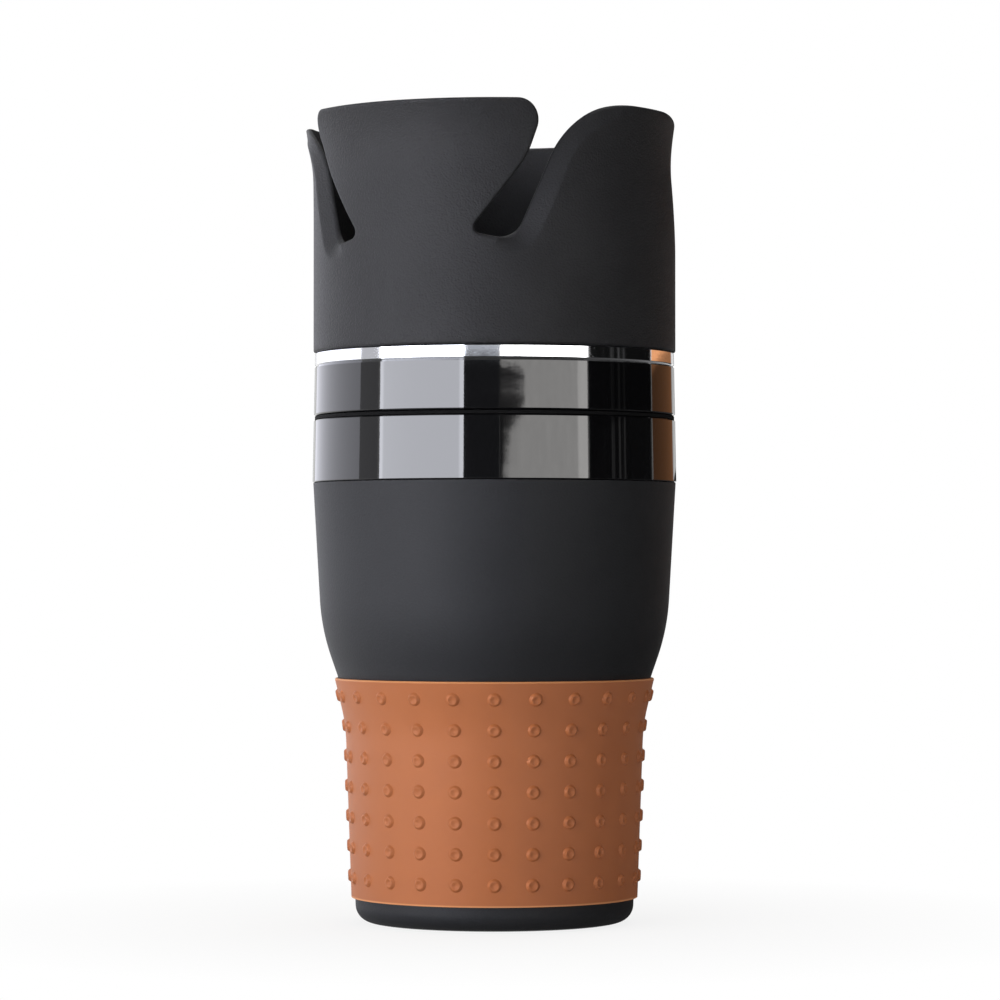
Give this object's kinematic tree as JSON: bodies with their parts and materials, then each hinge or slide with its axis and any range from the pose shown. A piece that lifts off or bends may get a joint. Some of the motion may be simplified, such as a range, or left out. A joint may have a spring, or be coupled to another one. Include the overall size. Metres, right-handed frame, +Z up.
{
  "type": "swing-out cup holder",
  "caption": "Upright car cup holder: a tapered cup in a studded grip sleeve, with a petal-mouthed upper cup above a chrome trim ring that swings out on an off-centre upright pin.",
  "frame": {"origin": "middle of the foot's underside, where the holder's upright axis meets the surface it stands on", "axes": "+Z up along the holder's axis; -Y towards the picture's camera, so the pivot pin is at the back, on +Y; +X to the right in the picture"},
  "size_m": [0.0902, 0.0898, 0.188],
  "materials": {
    "matte_black_abs": "fine moulded texture, matte",
    "brown_silicone": "satin moulded silicone",
    "gloss_black_abs": "polished mould, gloss",
    "chrome_plating": "bright plating on plastic",
    "soft_black_rubber": "soft-touch matte",
    "white_acetal": "as moulded",
    "zinc_steel": "zinc plated",
    "turned_brass": "turned"
  },
  "bodies": {
    "base": {"lower_cup": "matte_black_abs", "grip_sleeve": "brown_silicone", "lower_ring": "gloss_black_abs", "pivot_bush": "white_acetal"},
    "swing": {"swing_cup": "gloss_black_abs", "trim_ring": "chrome_plating", "petal_collar": "soft_black_rubber", "pivot_screw": "zinc_steel", "threaded_insert": "turned_brass", "disc_spring": "zinc_steel", "flat_washer": "zinc_steel"}
  },
  "joints": [
    {"name": "upper_cup_swing", "type": "hinge", "parent": "base", "child": "swing", "pos_m": [0, 0.03441, 0.118], "axis": [0, 0, 1], "continuous": true}
  ]
}
